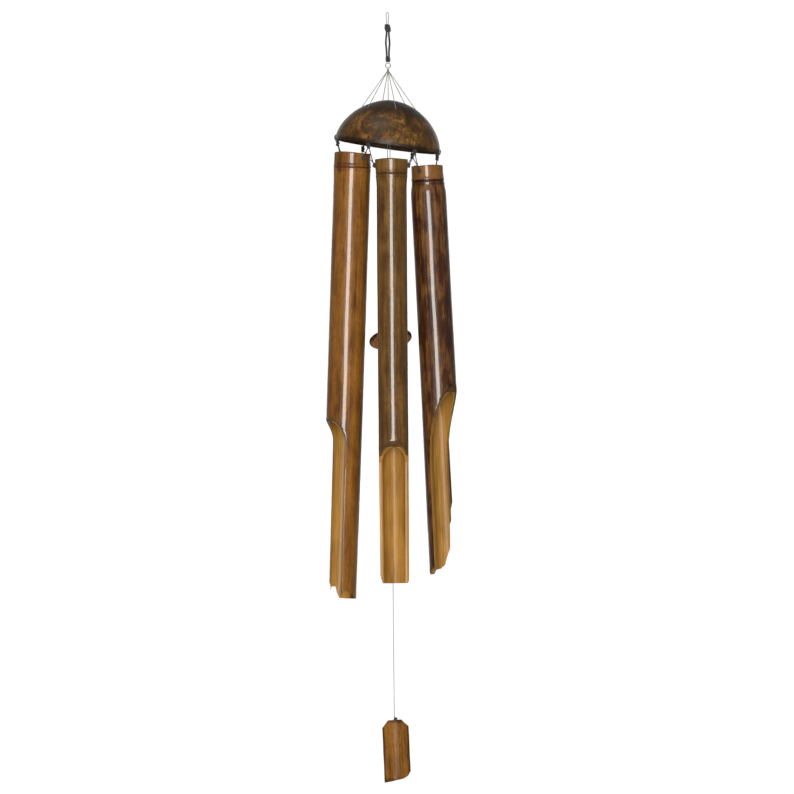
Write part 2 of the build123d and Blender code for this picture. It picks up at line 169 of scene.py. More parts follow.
class Look:
    """A material under construction: its nodes, its links and its one shader."""

    def __init__(self, name):
        self.material = bpy.data.materials.new(name)
        self.material.use_nodes = True
        self.tree = self.material.node_tree
        self.tree.nodes.clear()
        self.shader = self.add("ShaderNodeBsdfPrincipled")
        output = self.add("ShaderNodeOutputMaterial")
        self.link(self.shader.outputs["BSDF"], output.inputs["Surface"])

    def add(self, kind, **values):
        node = self.tree.nodes.new(kind)
        for name, value in values.items():
            setattr(node, name, value)
        return node

    def link(self, source, target):
        self.tree.links.new(source, target)

    def attribute(self, name, output="Vector"):
        return self.add("ShaderNodeAttribute", attribute_name=name).outputs[output]

    def scaled(self, vector, scale):
        node = self.add("ShaderNodeMapping", vector_type="POINT")
        node.inputs["Scale"].default_value = scale
        self.link(vector, node.inputs["Vector"])
        return node.outputs["Vector"]

    def noise(self, vector, scale, detail=3.0, rough=0.6, distortion=0.0, along=None):
        """Noise at a scale; along draws it out in Z, as fibres are."""
        node = self.add("ShaderNodeTexNoise")
        settings = {"Scale": scale, "Detail": detail, "Roughness": rough, "Distortion": distortion}
        for socket, value in settings.items():
            node.inputs[socket].default_value = value
        place = self.scaled(vector, (1.0, 1.0, along)) if along else vector
        self.link(place, node.inputs["Vector"])
        return node.outputs["Fac"]

    def ramp(self, value, stops):
        node = self.add("ShaderNodeValToRGB")
        elements = node.color_ramp.elements
        while len(elements) < len(stops):
            elements.new(0.5)
        for element, (place, colour) in zip(elements, stops):
            element.position = place
            element.color = (*colour, 1.0)
        self.link(value, node.inputs["Fac"])
        return node.outputs["Color"]

    def mixed(self, share, first, second, blend="MIX"):
        node = self.add("ShaderNodeMix", data_type="RGBA", blend_type=blend)
        for number, value in ((0, share), (6, first), (7, second)):
            socket = node.inputs[number]
            if isinstance(value, (int, float)):
                socket.default_value = value
            elif isinstance(value, tuple):
                socket.default_value = (*value, 1.0)
            else:
                self.link(value, socket)
        return node.outputs[2]

    def spread(self, value, low, high, new_low=0.0, new_high=1.0):
        node = self.add("ShaderNodeMapRange")
        for socket, number in zip(list(node.inputs)[1:5], (low, high, new_low, new_high)):
            socket.default_value = number
        self.link(value, node.inputs[0])
        return node.outputs[0]

    def maths(self, operation, first, second):
        node = self.add("ShaderNodeMath", operation=operation)
        for socket, value in zip(node.inputs, (first, second)):
            if isinstance(value, (int, float)):
                socket.default_value = value
            else:
                self.link(value, socket)
        return node.outputs[0]

    def blend(self, *parts):
        """The sum of values, each times its own weight."""
        total = None
        for value, weight in parts:
            part = self.maths("MULTIPLY", value, weight)
            total = part if total is None else self.maths("ADD", total, part)
        return total

    def bump(self, height, strength, distance):
        node = self.add("ShaderNodeBump")
        node.inputs["Strength"].default_value = strength
        node.inputs["Distance"].default_value = distance
        self.link(height, node.inputs["Height"])
        self.link(node.outputs["Normal"], self.shader.inputs["Normal"])

    def set(self, **values):
        for name, value in values.items():
            self.shader.inputs[name.replace("_", " ")].default_value = value

    def feed(self, name, source):
        self.link(source, self.shader.inputs[name])


def bamboo_skin(name, dark, middle, light, seed, gloss=0.9):
    """Varnished bamboo: long fibres, clouded colour, dark node lines and a glossy coat."""
    look = Look(name)
    grain = look.attribute("grain")
    tone = look.attribute("tone", "Fac")
    fibres = look.noise(grain, 620.0 + seed, 4.0, 0.6, along=0.03)
    bands = look.noise(grain, 150.0 + seed, 3.0, 0.5, 0.4, along=0.06)
    clouds = look.noise(grain, 60.0 + seed, 5.0, 0.62, 0.6, along=0.4)
    specks = look.noise(grain, 420.0 + seed, along=0.4)
    # tone takes in the node lines, the cup's colour and the painted shade along the cut edges.
    share = look.blend((fibres, 0.3), (bands, 0.3), (clouds, 0.4), (tone, 0.2))
    colour = look.ramp(share, [(0.39, dark), (0.49, middle), (0.61, light)])
    speckled = look.mixed(look.spread(specks, 0.5, 0.68, 0.0, 0.4), colour, dark)
    look.feed("Base Color", speckled)
    look.feed("Roughness", look.spread(clouds, 0.3, 0.7, 0.3, 0.42))
    look.set(Specular_IOR_Level=0.3 * gloss, Coat_Roughness=0.07, Coat_IOR=1.46)
    look.feed("Coat Weight", look.spread(tone, -1.1, -0.4, 0.0, gloss))
    waves = look.noise(grain, 130.0, along=0.35)
    look.bump(look.blend((fibres, 0.3), (waves, 0.7)), 0.6, 0.0012)
    return look.material


def bamboo_wood(name, dark, light, shade_and_stain_colour):
    """The pale inside of a split bamboo: straight fibres, a thin varnish, darker node lines and painted
    shade along the cut edges.
    """
    look = Look(name)
    grain = look.attribute("grain")
    fibres = look.noise(grain, 900.0, 5.0, 0.65, along=0.015)
    clouds = look.noise(grain, 60.0, 4.0, 0.6, 0.5, along=0.25)
    colour = look.ramp(look.blend((fibres, 0.55), (clouds, 0.45)), [(0.38, dark), (0.62, light)])
    # Painted shade: low tone darkens the wood along the cut edges, where their shadow falls, and also
    # at the node lines.
    shade_and_stain = look.spread(look.attribute("tone", "Fac"), -1.2, -0.1, 0.85, 0.0)
    look.feed("Base Color", look.mixed(shade_and_stain, colour, shade_and_stain_colour))
    look.feed("Roughness", look.spread(fibres, 0.3, 0.7, 0.4, 0.55))
    look.set(Specular_IOR_Level=0.15, Coat_Roughness=0.16, Coat_IOR=1.4)
    look.feed("Coat Weight", look.spread(look.attribute("tone", "Fac"), -1.1, -0.4, 0.0, 0.3))
    look.bump(fibres, 0.4, 0.0006)
    return look.material


def coconut_skin():
    """Polished coconut shell: nearly black, mottled where the outer layer is sanded through."""
    look = Look("coconut_skin")
    grain = look.attribute("grain")
    patches = look.noise(grain, 42.0, 4.0, 0.6, 0.8)
    veins = look.noise(grain, 190.0, 6.0, 0.75, 0.9, along=0.7)
    fine = look.noise(grain, 700.0, along=0.4)
    tone = look.attribute("tone", "Fac")
    share = look.blend((patches, 0.4), (veins, 0.45), (fine, 0.15), (tone, 0.12))
    stops = [
        (0.4, (0.014, 0.007, 0.003)),
        (0.5, (0.052, 0.024, 0.006)),
        (0.57, (0.11, 0.05, 0.01)),
        (0.65, (0.3, 0.15, 0.032)),
    ]
    look.feed("Base Color", look.ramp(share, stops))
    look.feed("Roughness", look.spread(veins, 0.35, 0.65, 0.32, 0.55))
    look.set(Specular_IOR_Level=0.3, Coat_Weight=0.25, Coat_Roughness=0.28, Coat_IOR=1.42)
    look.bump(look.blend((veins, 0.6), (fine, 0.4)), 0.7, 0.0012)
    return look.material


def coconut_inside():
    look = Look("coconut_inside")
    grain = look.attribute("grain")
    patches = look.noise(grain, 90.0, 5.0, 0.65, 0.8)
    fine = look.noise(grain, 1100.0)
    share = look.blend((patches, 0.6), (fine, 0.4))
    stops = [(0.35, (0.02, 0.009, 0.004)), (0.65, (0.09, 0.04, 0.016))]
    look.feed("Base Color", look.ramp(share, stops))
    look.set(Roughness=0.7)
    look.bump(share, 0.6, 0.0006)
    return look.material


def turned_wood():
    """The clapper's wood: growth rings across the face, an edge darker all round, varnish."""
    look = Look("clapper_wood")
    grain = look.attribute("grain")
    rings = look.add("ShaderNodeTexWave", wave_type="RINGS", rings_direction="Z", wave_profile="SIN")
    settings = {"Scale": 130.0, "Distortion": 5.0, "Detail": 3.0, "Detail Scale": 2.0}
    for socket, value in settings.items():
        rings.inputs[socket].default_value = value
    look.link(look.scaled(grain, (1.0, 0.7, 0.3)), rings.inputs["Vector"])
    pores = look.noise(grain, 1400.0, along=0.2)
    clouds = look.noise(grain, 70.0, 4.0, 0.6)
    tone = look.attribute("tone", "Fac")
    share = look.blend((rings.outputs["Fac"], 0.3), (pores, 0.3), (clouds, 0.4), (tone, 0.3))
    stops = [(0.15, (0.03, 0.014, 0.009)), (0.4, (0.26, 0.09, 0.02)), (0.65, (0.42, 0.18, 0.045))]
    look.feed("Base Color", look.ramp(share, stops))
    look.feed("Roughness", look.spread(pores, 0.3, 0.7, 0.45, 0.6))
    look.set(Specular_IOR_Level=0.25)
    look.bump(share, 0.3, 0.0005)
    return look.material


def black_cord():
    look = Look("black_cord")
    grain = look.attribute("grain")
    fuzz = look.noise(grain, 3500.0)
    worn = look.noise(grain, 300.0)
    stops = [(0.3, (0.004, 0.004, 0.005)), (0.7, (0.025, 0.025, 0.028))]
    look.feed("Base Color", look.ramp(look.blend((fuzz, 0.5), (worn, 0.5)), stops))
    look.feed("Roughness", look.spread(fuzz, 0.3, 0.7, 0.5, 0.8))
    look.set(Sheen_Weight=0.25, Sheen_Roughness=0.5)
    look.bump(fuzz, 0.6, 0.0002)
    return look.material


def nylon():
    look = Look("nylon_line")
    place = look.add("ShaderNodeTexCoord").outputs["Object"]
    cloud = look.noise(place, 350.0, along=0.3)
    stops = [(0.3, (0.17, 0.175, 0.17)), (0.7, (0.32, 0.33, 0.32))]
    look.feed("Base Color", look.ramp(cloud, stops))
    look.feed("Roughness", look.spread(cloud, 0.3, 0.7, 0.15, 0.3))
    look.set(Transmission_Weight=0.15, IOR=1.5)
    return look.material


def dull_wire():
    look = Look("ring_wire")
    place = look.add("ShaderNodeTexCoord").outputs["Object"]
    tarnish = look.noise(place, 900.0, 4.0, 0.6)
    stops = [(0.35, (0.12, 0.11, 0.1)), (0.65, (0.4, 0.39, 0.37))]
    look.feed("Base Color", look.ramp(tarnish, stops))
    look.feed("Roughness", look.spread(tarnish, 0.3, 0.7, 0.3, 0.5))
    look.set(Metallic=1.0)
    look.bump(tarnish, 0.2, 0.0001)
    return look.material


# Each skin's dark, middle and light colour, and the seed of its grain.
AMBER = (0.075, 0.022, 0.004), (0.19, 0.074, 0.009), (0.28, 0.115, 0.014), 0.0
OLIVE = (0.055, 0.023, 0.004), (0.098, 0.043, 0.007), (0.18, 0.09, 0.016), 17.0
DARK = (0.022, 0.007, 0.003), (0.052, 0.015, 0.004), (0.2, 0.085, 0.02), 31.0
SAIL = (0.07, 0.026, 0.006), (0.17, 0.07, 0.013), (0.26, 0.12, 0.024), 43.0

SKINS = {look: bamboo_skin(f"bamboo_{look}", *colours)
         for look, colours in (("amber", AMBER), ("olive", OLIVE), ("dark", DARK))}
INSIDE = bamboo_wood("bamboo_inside", (0.2, 0.09, 0.014), (0.42, 0.215, 0.042), (0.03, 0.01, 0.004))
SAIL_SKIN = bamboo_skin("sail_bamboo", *SAIL, gloss=0.08)
SHELL_SKIN, SHELL_INSIDE = coconut_skin(), coconut_inside()
DISC_WOOD, BLACK, NYLON, WIRE = turned_wood(), black_cord(), nylon(), dull_wire()

# ---- mesh helpers ----


def new_object(name, mesh, *materials):
    for material in materials:
        mesh.materials.append(material)
    return linked(name, mesh)


def dress(piece, *materials):
    """Gives the piece's mesh these materials and no others."""
    piece.data.materials.clear()
    for material in materials:
        piece.data.materials.append(material)
    return piece.data


def smooth(mesh, angle=38.0):
    mesh.shade_smooth()
    mesh.set_sharp_from_angle(angle=math.radians(angle))


def join_rings(built, first, second):
    """Faces between two closed rows of points; a row may be a single point."""
    count = max(len(first), len(second))
    for step in range(count):
        after = (step + 1) % count
        corners = [first[step % len(first)], first[after % len(first)],
                   second[after % len(second)], second[step % len(second)]]
        built.faces.new(list(dict.fromkeys(corners)))


def lathe(profile, segments, shape=None):
    """A closed turned mesh from (radius, height) pairs; shape moves each point of it."""
    mesh = bmesh.new()
    rows = []
    for radius, height in profile:
        if radius < 1e-9:
            rows.append([mesh.verts.new((0, 0, height))])
            continue
        row = []
        for step in range(segments):
            turn = 2 * math.pi * step / segments
            row.append(mesh.verts.new((radius * math.sin(turn), -radius * math.cos(turn), height)))
        rows.append(row)
    for above, below in zip(rows, rows[1:]):
        join_rings(mesh, above, below)
    if shape:
        for vert in mesh.verts:
            vert.co = shape(vert.co)
    return mesh


def prism(outline, axis, half):
    """A closed block, in millimetres: an outline of (across, up) pulled both ways along an axis."""
    mesh = bmesh.new()
    sides = []
    for end in (-half, half):
        corners = [(end, a, b) if axis == "X" else (a, end, b) for a, b in outline]
        sides.append([mesh.verts.new([value * MM for value in corner]) for corner in corners])
    join_rings(mesh, *sides)
    caps = [mesh.faces.new(side) for side in sides]
    bmesh.ops.triangulate(mesh, faces=caps)
    return mesh


def peg(start, end, radius, segments=20):
    """A closed round rod between two points, as a cutter."""
    start, end = Vector(start), Vector(end)
    length = (end - start).length
    mesh = lathe([(0, 0), (radius, 0), (radius, length), (0, length)], segments)
    turn = Vector((0, 0, 1)).rotation_difference(end - start).to_matrix().to_4x4()
    bmesh.ops.transform(mesh, matrix=Matrix.Translation(start) @ turn, verts=mesh.verts)
    return mesh


def to_mesh(built, name):
    """Ends the building of a mesh, with every face turned outwards."""
    bmesh.ops.recalc_face_normals(built, faces=built.faces)
    mesh = bpy.data.meshes.new(name)
    built.to_mesh(mesh)
    built.free()
    return mesh


def evaluated_mesh(piece):
    """The piece's mesh with its modifiers, or its curve, worked out."""
    bpy.context.view_layer.update()
    done = piece.evaluated_get(bpy.context.evaluated_depsgraph_get())
    return bpy.data.meshes.new_from_object(done)


def apply_modifiers(piece):
    done = evaluated_mesh(piece)
    piece.modifiers.clear()
    piece.data = done


def cut(piece, cutters):
    """Takes each cutter away from the piece, one after the other."""
    helpers = []
    for cutter in cutters:
        helper = new_object("cutter", to_mesh(cutter, "cutter"))
        modifier = piece.modifiers.new("cut", "BOOLEAN")
        modifier.operation, modifier.solver, modifier.object = "DIFFERENCE", "FAST", helper
        helpers.append(helper)
    apply_modifiers(piece)
    for helper in helpers:
        bpy.data.meshes.remove(helper.data)


def clean(mesh, distance=0.02 * MM):
    """Merges doubled points and drops slivers without area."""
    built = bmesh.new()
    built.from_mesh(mesh)
    bmesh.ops.remove_doubles(built, verts=built.verts, dist=distance)
    bmesh.ops.dissolve_degenerate(built, edges=built.edges, dist=distance / 2)
    built.to_mesh(mesh)
    built.free()


def soften(piece, width, segments=2, angle=42.0):
    """Rounds the piece's sharp edges a little."""
    modifier = piece.modifiers.new("soften", "BEVEL")
    modifier.width, modifier.segments = width, segments
    modifier.limit_method, modifier.angle_limit = "ANGLE", math.radians(angle)
    modifier.harden_normals = False
    apply_modifiers(piece)


def paint(mesh, tone, outline=0.0):
    """Stores each point's place in its own frame, and its tone: dark is -1, light is 1.

    Points where two materials meet, the cut edges, are darker by outline: painted shade along the cut
    edges.
    """
    places, tones = [], []
    for vert in mesh.vertices:
        places.extend(vert.co)
        tones.append(tone(vert.co))
    sides = [set() for _ in mesh.vertices]
    for face in mesh.polygons:
        for index in face.vertices:
            sides[index].add(face.material_index)
    for index, kinds in enumerate(sides):
        # painted shade along the cut edges
        tones[index] -= outline * (len(kinds) > 1)
    mesh.attributes.new("grain", "FLOAT_VECTOR", "POINT").data.foreach_set("vector", places)
    mesh.attributes.new("tone", "FLOAT", "POINT").data.foreach_set("value", tones)


def attach(piece, body, node):
    """Puts a finished piece on a body, instead of its CAD node."""
    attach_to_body(piece, body)
    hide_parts(node)


def settle(piece, place, body, node):
    """Moves a piece made in its own frame to its place, and attaches it."""
    piece.data.transform(place)
    attach(piece, body, node)


# ---- bamboo tubes ----

TUBE_SEGMENTS = 88


def smooth_step(value, low, high):
    share = min(max((value - low) / (high - low), 0.0), 1.0)
    return share * share * (3 - 2 * share)


def hump(value, middle, width):
    """A smooth rise to 1 at the middle and back."""
    return math.exp(-(((value - middle) / width) ** 2))


def tube_radius(tube, depth):
    """The outside radius of a tube at a depth under its top edge, with the ridge of its node."""
    cup, node = tube.cup_width / 2, tube.node_width / 2
    body = tube.body_width / 2 + (tube.foot_width - tube.body_width) / 2 * depth / tube.length
    swell = node - 1.0
    radius = cup + (swell - cup) * smooth_step(depth, tube.cup * 0.35, tube.cup)
    radius += (body - swell) * smooth_step(depth, tube.cup + 1.5, tube.cup + 17.0)
    below = depth - tube.cup
    ridge = hump(below, -0.6, 1.3) + 0.7 * hump(below, 3.6, 1.5)
    return radius + ridge * 0.4 - hump(below, 1.5, 0.8) * 0.3


def tube_depths(tube):
    """Rows along the tube: close together at the cup and its node, wider down the body."""
    depths = [0.0, 0.35, 0.9]
    depth = 2.0
    while depth < tube.cup - 4:
        depths.append(depth)
        depth += 1.6
    while depth < tube.cup + 8:
        depths.append(depth)
        depth += 0.5
    while depth < tube.length - 6:
        depths.append(depth)
        depth += 5.0
    return depths + [tube.length - 1.0, tube.length - 0.3, tube.length]


def tube_profile(tube):
    """From the middle of the cup's floor, over the top edge, down the outside and back up inside."""
    depths = tube_depths(tube)
    wall = BAMBOO_WALL
    edge = 0.5
    cup_inside = tube.cup_width / 2 - wall
    profile = [(0, -tube.cup), (cup_inside * 0.5, -tube.cup - 0.3), (cup_inside - 2.0, -tube.cup + 0.1)]
    profile += [(cup_inside, -tube.cup + 2.2), (cup_inside, -tube.cup * 0.5), (cup_inside, -edge)]
    profile += [(cup_inside + edge, 0)]
    for depth in depths:
        radius = tube_radius(tube, depth)
        radius -= edge * (depth == 0) + 0.12 * (depth == 0.35) + edge * 0.6 * (depth == tube.length)
        profile.append((radius, -depth))
    inside = [tube_radius(tube, tube.length) - wall - 0.4 * (depth >= tube.length) for depth in depths]
    profile.append((inside[-1] + 0.8, -tube.length))
    floor = -tube.cup - NODE_WALL
    steps = 30
    for step in range(steps + 1):
        height = -tube.length + 0.6 + (floor - 3.0 + tube.length) * step / steps
        profile.append((tube.body_width / 2 - wall, height))
    profile += [(tube.body_width / 2 - wall - 2.0, floor - 0.3), (6.0, floor), (0, floor)]
    return [(radius * MM, height * MM) for radius, height in profile]


def tube_shape(tube, seed):
    """A slightly oval section, a faint bow, uneven walls and a sloping top edge."""
    phase = seed * 2.1
    cup = tube.cup * MM
    length = tube.length * MM

    def shape(point):
        x, y, z = point
        along = -z / length
        around = math.atan2(x, -y)
        ripple = noise.noise(Vector((x * 55, y * 55, z * 14 + seed * 7.3)))
        scale = 1 + 0.008 * math.sin(2 * around + phase) + 0.009 * ripple
        x, y = x * scale, y * scale
        bow = math.sin(math.pi * min(max(along, 0), 1)) * MM
        x += 0.7 * bow * math.cos(phase)
        y += 0.7 * bow * math.sin(phase)
        fade = smooth_step(z, -cup * 0.75, 0)
        z += fade * (tube.slope[0] * x + tube.slope[1] * y + 0.35 * MM * math.sin(3 * around + phase))
        return Vector((x, y, z))

    return shape


def radius_at(tube, depth):
    """The outside radius of a tube's body at a depth under its top edge."""
    start = tube.cup + 4 * NODE_WALL
    share = (depth - start) / (tube.length - start)
    return (tube.body_width + (tube.foot_width - tube.body_width) * share) / 2


def scoop_cutter(tube):
    """The wood that is cut away: a curve into the tube, then straight down to its foot."""
    scoop = tube.scoop
    top = tube.length - scoop.length
    reach = radius_at(tube, top)
    outline = []
    for step in range(SCOOP_STEPS + 1):
        share = step / SCOOP_STEPS
        depth = 1 - (1 - share**scoop.entry) ** scoop.finish
        outline.append((-reach + (reach + scoop.depths[0]) * depth, -top - scoop.arch * share))
    clear, foot = -reach - CUTTER_MARGIN, -tube.length - CUTTER_MARGIN
    outline += [(scoop.depths[1], foot), (clear, foot), (clear, -top)]
    return prism(outline, "X", tube.node_width)


def corner_cutters(tube):
    """The pieces off the tongue's lower corners."""
    cutters = []
    foot = -tube.length - CUTTER_MARGIN
    for corner in tube.corners:
        trim = [(across, above - tube.length) for across, above in corner]
        outline = trim + [(trim[-1][0], foot), (trim[0][0], foot)]
        cutters.append(prism(outline, "Y", tube.node_width))
    return cutters


def string_cutter(tube):
    reach = tube.node_width * MM
    height = -STRING_DEPTH * MM
    return peg((-reach, 0, height), (reach, 0, height), STRING_HOLE / 2 * MM)


def tube_tone(tube):
    def tone(point):
        below = -point.z / MM - tube.cup
        lines = 1.2 * hump(below, 1.4, 0.9) + 0.35 * hump(below, -2.2, 0.6)
        lines += 0.25 * hump(below, 5.6, 0.8)
        cup = tube.cup_tone * (1 - smooth_step(below, -2, 1))
        return cup + 0.3 * hump(below, 11, 6.0) - lines

    return tone


def split_materials(mesh, tube):
    """Slot 0 is the varnished skin; everything cut or inside takes slot 1."""
    for face in mesh.polygons:
        centre, normal = face.center, face.normal
        radius = math.hypot(centre.x, centre.y)
        outside = tube_radius(tube, max(-centre.z / MM, 0.0)) * MM
        away = (centre.x * normal.x + centre.y * normal.y) / max(radius, 1e-6)
        face.material_index = 0 if radius > outside - 1.1 * MM and away > 0.55 else 1


def add_tube(index, tube):
    name = f"bamboo_{tube.name}"
    mesh = to_mesh(lathe(tube_profile(tube), TUBE_SEGMENTS, tube_shape(tube, index)), name)
    piece = new_object(name, mesh)
    cutters = [scoop_cutter(tube), *corner_cutters(tube)]
    for cutter in cutters:
        bmesh.ops.transform(cutter, matrix=turned(z=tube.scoop.turn), verts=cutter.verts)
    cut(piece, [*cutters, string_cutter(tube)])
    clean(piece.data)
    soften(piece, 0.45 * MM)
    mesh = dress(piece, SKINS[tube.look], INSIDE)
    split_materials(mesh, tube)
    smooth(mesh)
    # The 1.3 is the painted shade along the tube's cut edges.
    paint(mesh, tube_tone(tube), 1.3)
    settle(piece, tube_place(tube), f"tube_{tube.name}", f"tube_{tube.name}")


# ---- coconut shell ----


def dome_height_at(radius, rim=DOME_RADIUS, height=DOME_HEIGHT):
    share = min(abs(radius) / rim, 1.0)
    return height * (1 - share**DOME_EXPONENT) ** (1 / DOME_EXPONENT)


def dome_arc(rim, height, steps):
    """Points of half the shell's outline, from its rim up to its crown."""
    points = []
    for step in range(steps + 1):
        angle = step / steps * math.pi / 2
        across = rim * math.cos(angle) ** (2 / DOME_EXPONENT)
        points.append((across, height * math.sin(angle) ** (2 / DOME_EXPONENT)))
    points[-1] = (0, height)
    return points


def dome_shape(point):
    """The shell isn't turned: it is a little uneven all over."""
    lumps = noise.noise(point * 28) * 0.7 + noise.noise(point * 75) * 0.3
    return point * (1 + 0.011 * lumps)


def support_place(angle):
    spot = round_place(SUPPORT_CIRCLE, angle)
    spot.x += SUPPORT_SHIFT
    spot.z = dome_height_at(math.hypot(spot.x, spot.y))
    return DOME_PLACE @ (spot * MM)


def support_ends(angle):
    """A support line's ends: beside the ring's knot, and inside the shell."""
    knot = centre_of("line_knot")
    hole = support_place(angle)
    direction = (hole - knot).normalized()
    return knot + direction * 1.8 * MM, hole + direction * SUPPORT_TAIL * MM


def add_dome():
    outside = dome_arc(DOME_RADIUS, DOME_HEIGHT, 44)
    inside = dome_arc(DOME_RADIUS - DOME_WALL, DOME_HEIGHT - DOME_WALL, 36)
    lip = [(DOME_RADIUS - 0.8, -0.25), (DOME_RADIUS - DOME_WALL + 0.8, -0.2)]
    profile = outside[::-1] + lip + inside
    profile = [(radius * MM, height * MM) for radius, height in profile]
    mesh = to_mesh(lathe(profile, 128, dome_shape), "shell")
    piece = new_object("coconut_shell", mesh)
    back = DOME_PLACE.inverted()
    radius = DRILLED_HOLE / 2 * MM
    cutters = []
    for angle in SUPPORT_ANGLES:
        start, end = support_ends(angle)
        cutters.append(peg(back @ start, back @ end, radius))
    for angle in RIM_ANGLES:
        inner = round_place(DOME_RADIUS - 3 * DOME_WALL, angle, RIM_HOLE_HEIGHT) * MM
        outer = round_place(DOME_RADIUS + DOME_WALL, angle, RIM_HOLE_HEIGHT) * MM
        cutters.append(peg(inner, outer, radius))
    crown = centre_of("crown_knot")
    cutters.append(peg(back @ crown, back @ (crown + Vector((0, 0, 20 * MM))), radius))
    cut(piece, cutters)
    clean(piece.data)
    mesh = dress(piece, SHELL_SKIN, SHELL_INSIDE)
    for face in mesh.polygons:
        centre = face.center
        height = dome_height_at(math.hypot(centre.x, centre.y) / MM) * MM
        near = centre.z > height - 1.6 * MM and centre.z > 0.1 * MM
        face.material_index = 0 if near and face.normal.dot(centre) > 0 else 1
    smooth(mesh, 50)

    def tone(point):
        height = point.z / MM
        # The dark band at the rim is painted shade on the rim's cut face; the crown is made darker too.
        rim = math.exp(-((height / 2.0) ** 2))
        crown = smooth_step(height, 26.0, 50.0)
        return 0.3 - 2.2 * rim - 0.9 * crown

    paint(mesh, tone)
    settle(piece, DOME_PLACE, "dome", "coconut_dome")


# ---- cords and lines ----


def route_curve(name, points):
    """A smooth curve on a route's points, in metres."""
    data = bpy.data.curves.new(name, "CURVE")
    data.dimensions = "3D"
    data.resolution_u = 16
    spline = data.splines.new("NURBS")
    spline.points.add(len(points) - 1)
    for target, point in zip(spline.points, points):
        target.co = (*point, 1.0)
    spline.order_u = 3
    spline.use_endpoint_u = True
    return data


def route_points(points):
    """The points that the route's own curve passes."""
    helper = linked("route", route_curve("route", points))
    mesh = evaluated_mesh(helper)
    path = [vert.co.copy() for vert in mesh.vertices]
    bpy.data.meshes.remove(mesh)
    bpy.data.objects.remove(helper)
    return path


def run_length(path):
    return sum((b - a).length for a, b in zip(path, path[1:]))


def even_points(path, step):
    """The same path with evenly spaced points."""
    count = max(int(run_length(path) / step), 3)
    goal = run_length(path) / count
    out, walked = [path[0].copy()], 0.0
    for a, b in zip(path, path[1:]):
        span = (b - a).length
        while walked + span >= goal * len(out) - 1e-12 and len(out) < count and span > 0:
            out.append(a.lerp(b, (goal * len(out) - walked) / span))
        walked += span
    return out + [path[-1].copy()]


def laid_rope(built, path, diameter, plies=3, pitch=3.2, step=0.3 * MM, sides=15):
    """Adds a rope of twisted plies that follows a path, closed at both ends."""
    path = even_points(path, step)
    ahead = (path[1] - path[0]).normalized()
    side = ahead.orthogonal().normalized()
    rings, walked = [], 0.0
    for index, point in enumerate(path):
        before, after = path[max(index - 1, 0)], path[min(index + 1, len(path) - 1)]
        walked += (point - before).length
        turn = ahead.rotation_difference((after - before).normalized())
        ahead = (after - before).normalized()
        side = (turn @ side).normalized()
        other = ahead.cross(side)
        twist = 2 * math.pi * walked / (pitch * diameter)
        ring = []
        for step_round in range(sides):
            around = 2 * math.pi * step_round / sides
            lobe = abs(math.cos(plies / 2 * (around - twist)))
            radius = diameter / 2 * (0.8 + 0.2 * lobe)
            outward = side * math.cos(around) + other * math.sin(around)
            ring.append(built.verts.new(point + outward * radius))
        rings.append(ring)
    for first, second in zip(rings, rings[1:]):
        join_rings(built, first, second)
    built.faces.new(rings[0][::-1])
    built.faces.new(rings[-1])


def soft_piece(built, name, material):
    """An object of cord: smooth all over, in one tone."""
    mesh = to_mesh(built, name)
    smooth(mesh, 80)
    paint(mesh, lambda point: 0.0)
    return new_object(name, mesh, material)


def rope_cord(name, path, diameter, node, body, tube=None):
    """A black cord of twisted plies along a path, pulled tight; a tube's string has its knots."""
    built = bmesh.new()
    laid_rope(built, path, diameter * MM)
    piece = soft_piece(built, name, BLACK)
    attach(piece, body, node)
    knots = (add_hole_knots(tube),) if tube else ()
    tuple(path[0])
    run_length(path)


def add_line(name, points, node, body):
    """A taut nylon line: one smooth curve with the line's own thickness."""
    data = route_curve(name, points)
    data.bevel_depth = LINE_DIAMETER / 2 * MM
    data.bevel_resolution = 4
    data.use_fill_caps = True
    data.materials.append(NYLON)
    piece = linked(name, data)
    attach(piece, body, node)
    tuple(points[0])
    run_length(route_points(points))


def straight(start, end):
    """A taut run: its two ends and its middle."""
    start, end = Vector(start), Vector(end)
    return [start, (start + end) / 2, end]


def rim_knot_centre(angle):
    return DOME_PLACE @ (round_place(RIM_CIRCLE, angle) * MM) - Vector((0, 0, RIM_KNOT_DROP * MM))


def string_route(index):
    """From one rim knot down to the cup, through both its holes, and up to the next knot."""
    tube = TUBES[index]
    knots = [rim_knot_centre(RIM_ANGLES[(index + step) % len(RIM_ANGLES)]) for step in (0, 1)]
    reach = tube.node_width / 2 + STRING_OFFSET
    corners = [tube_place(tube) @ (Vector((side * reach, 0, -STRING_DEPTH)) * MM) for side in (-1, 1)]
    gap = (RIM_KNOT_DIAMETER / 2 + 0.6) * MM
    ends = [knot + (corner - knot).normalized() * gap for knot, corner in zip(knots, corners)]
    near = 2 * STRING_DIAMETER * MM
    inward = (corners[1] - corners[0]).normalized() * near
    risers = [corner + (end - corner).normalized() * near for corner, end in zip(corners, ends)]
    return [ends[0], risers[0], corners[0], corners[0] + inward, corners[1] - inward,
            corners[1], risers[1], ends[1]]


def add_string(index, tube):
    name = f"string_{tube.name}"
    path = route_points(string_route(index))
    rope_cord(f"cord_{tube.name}", path, STRING_DIAMETER, name, name, tube)


def add_hole_knots(tube):
    """The string's turns where it comes out of the cup's two holes."""
    reach = (tube.node_width / 2 + HOLE_KNOT_OFFSET) * MM
    spots = [tube_place(tube) @ Vector((side * reach, 0, -STRING_DEPTH * MM)) for side in (-1, 1)]
    knots = knot_piece(f"hole_knots_{tube.name}", [(spot, *HOLE_KNOT) for spot in spots], BLACK)
    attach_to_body(knots, f"string_{tube.name}")
    return knots


HANG_KNOT_TOP, HANG_KNOT_HEIGHT, END_KNOT_TOP = -14.0, 9.5, -52.0
CORD_HALF_SPACING, CORD_EYE_HALF_WIDTH = 1.25, 2.5


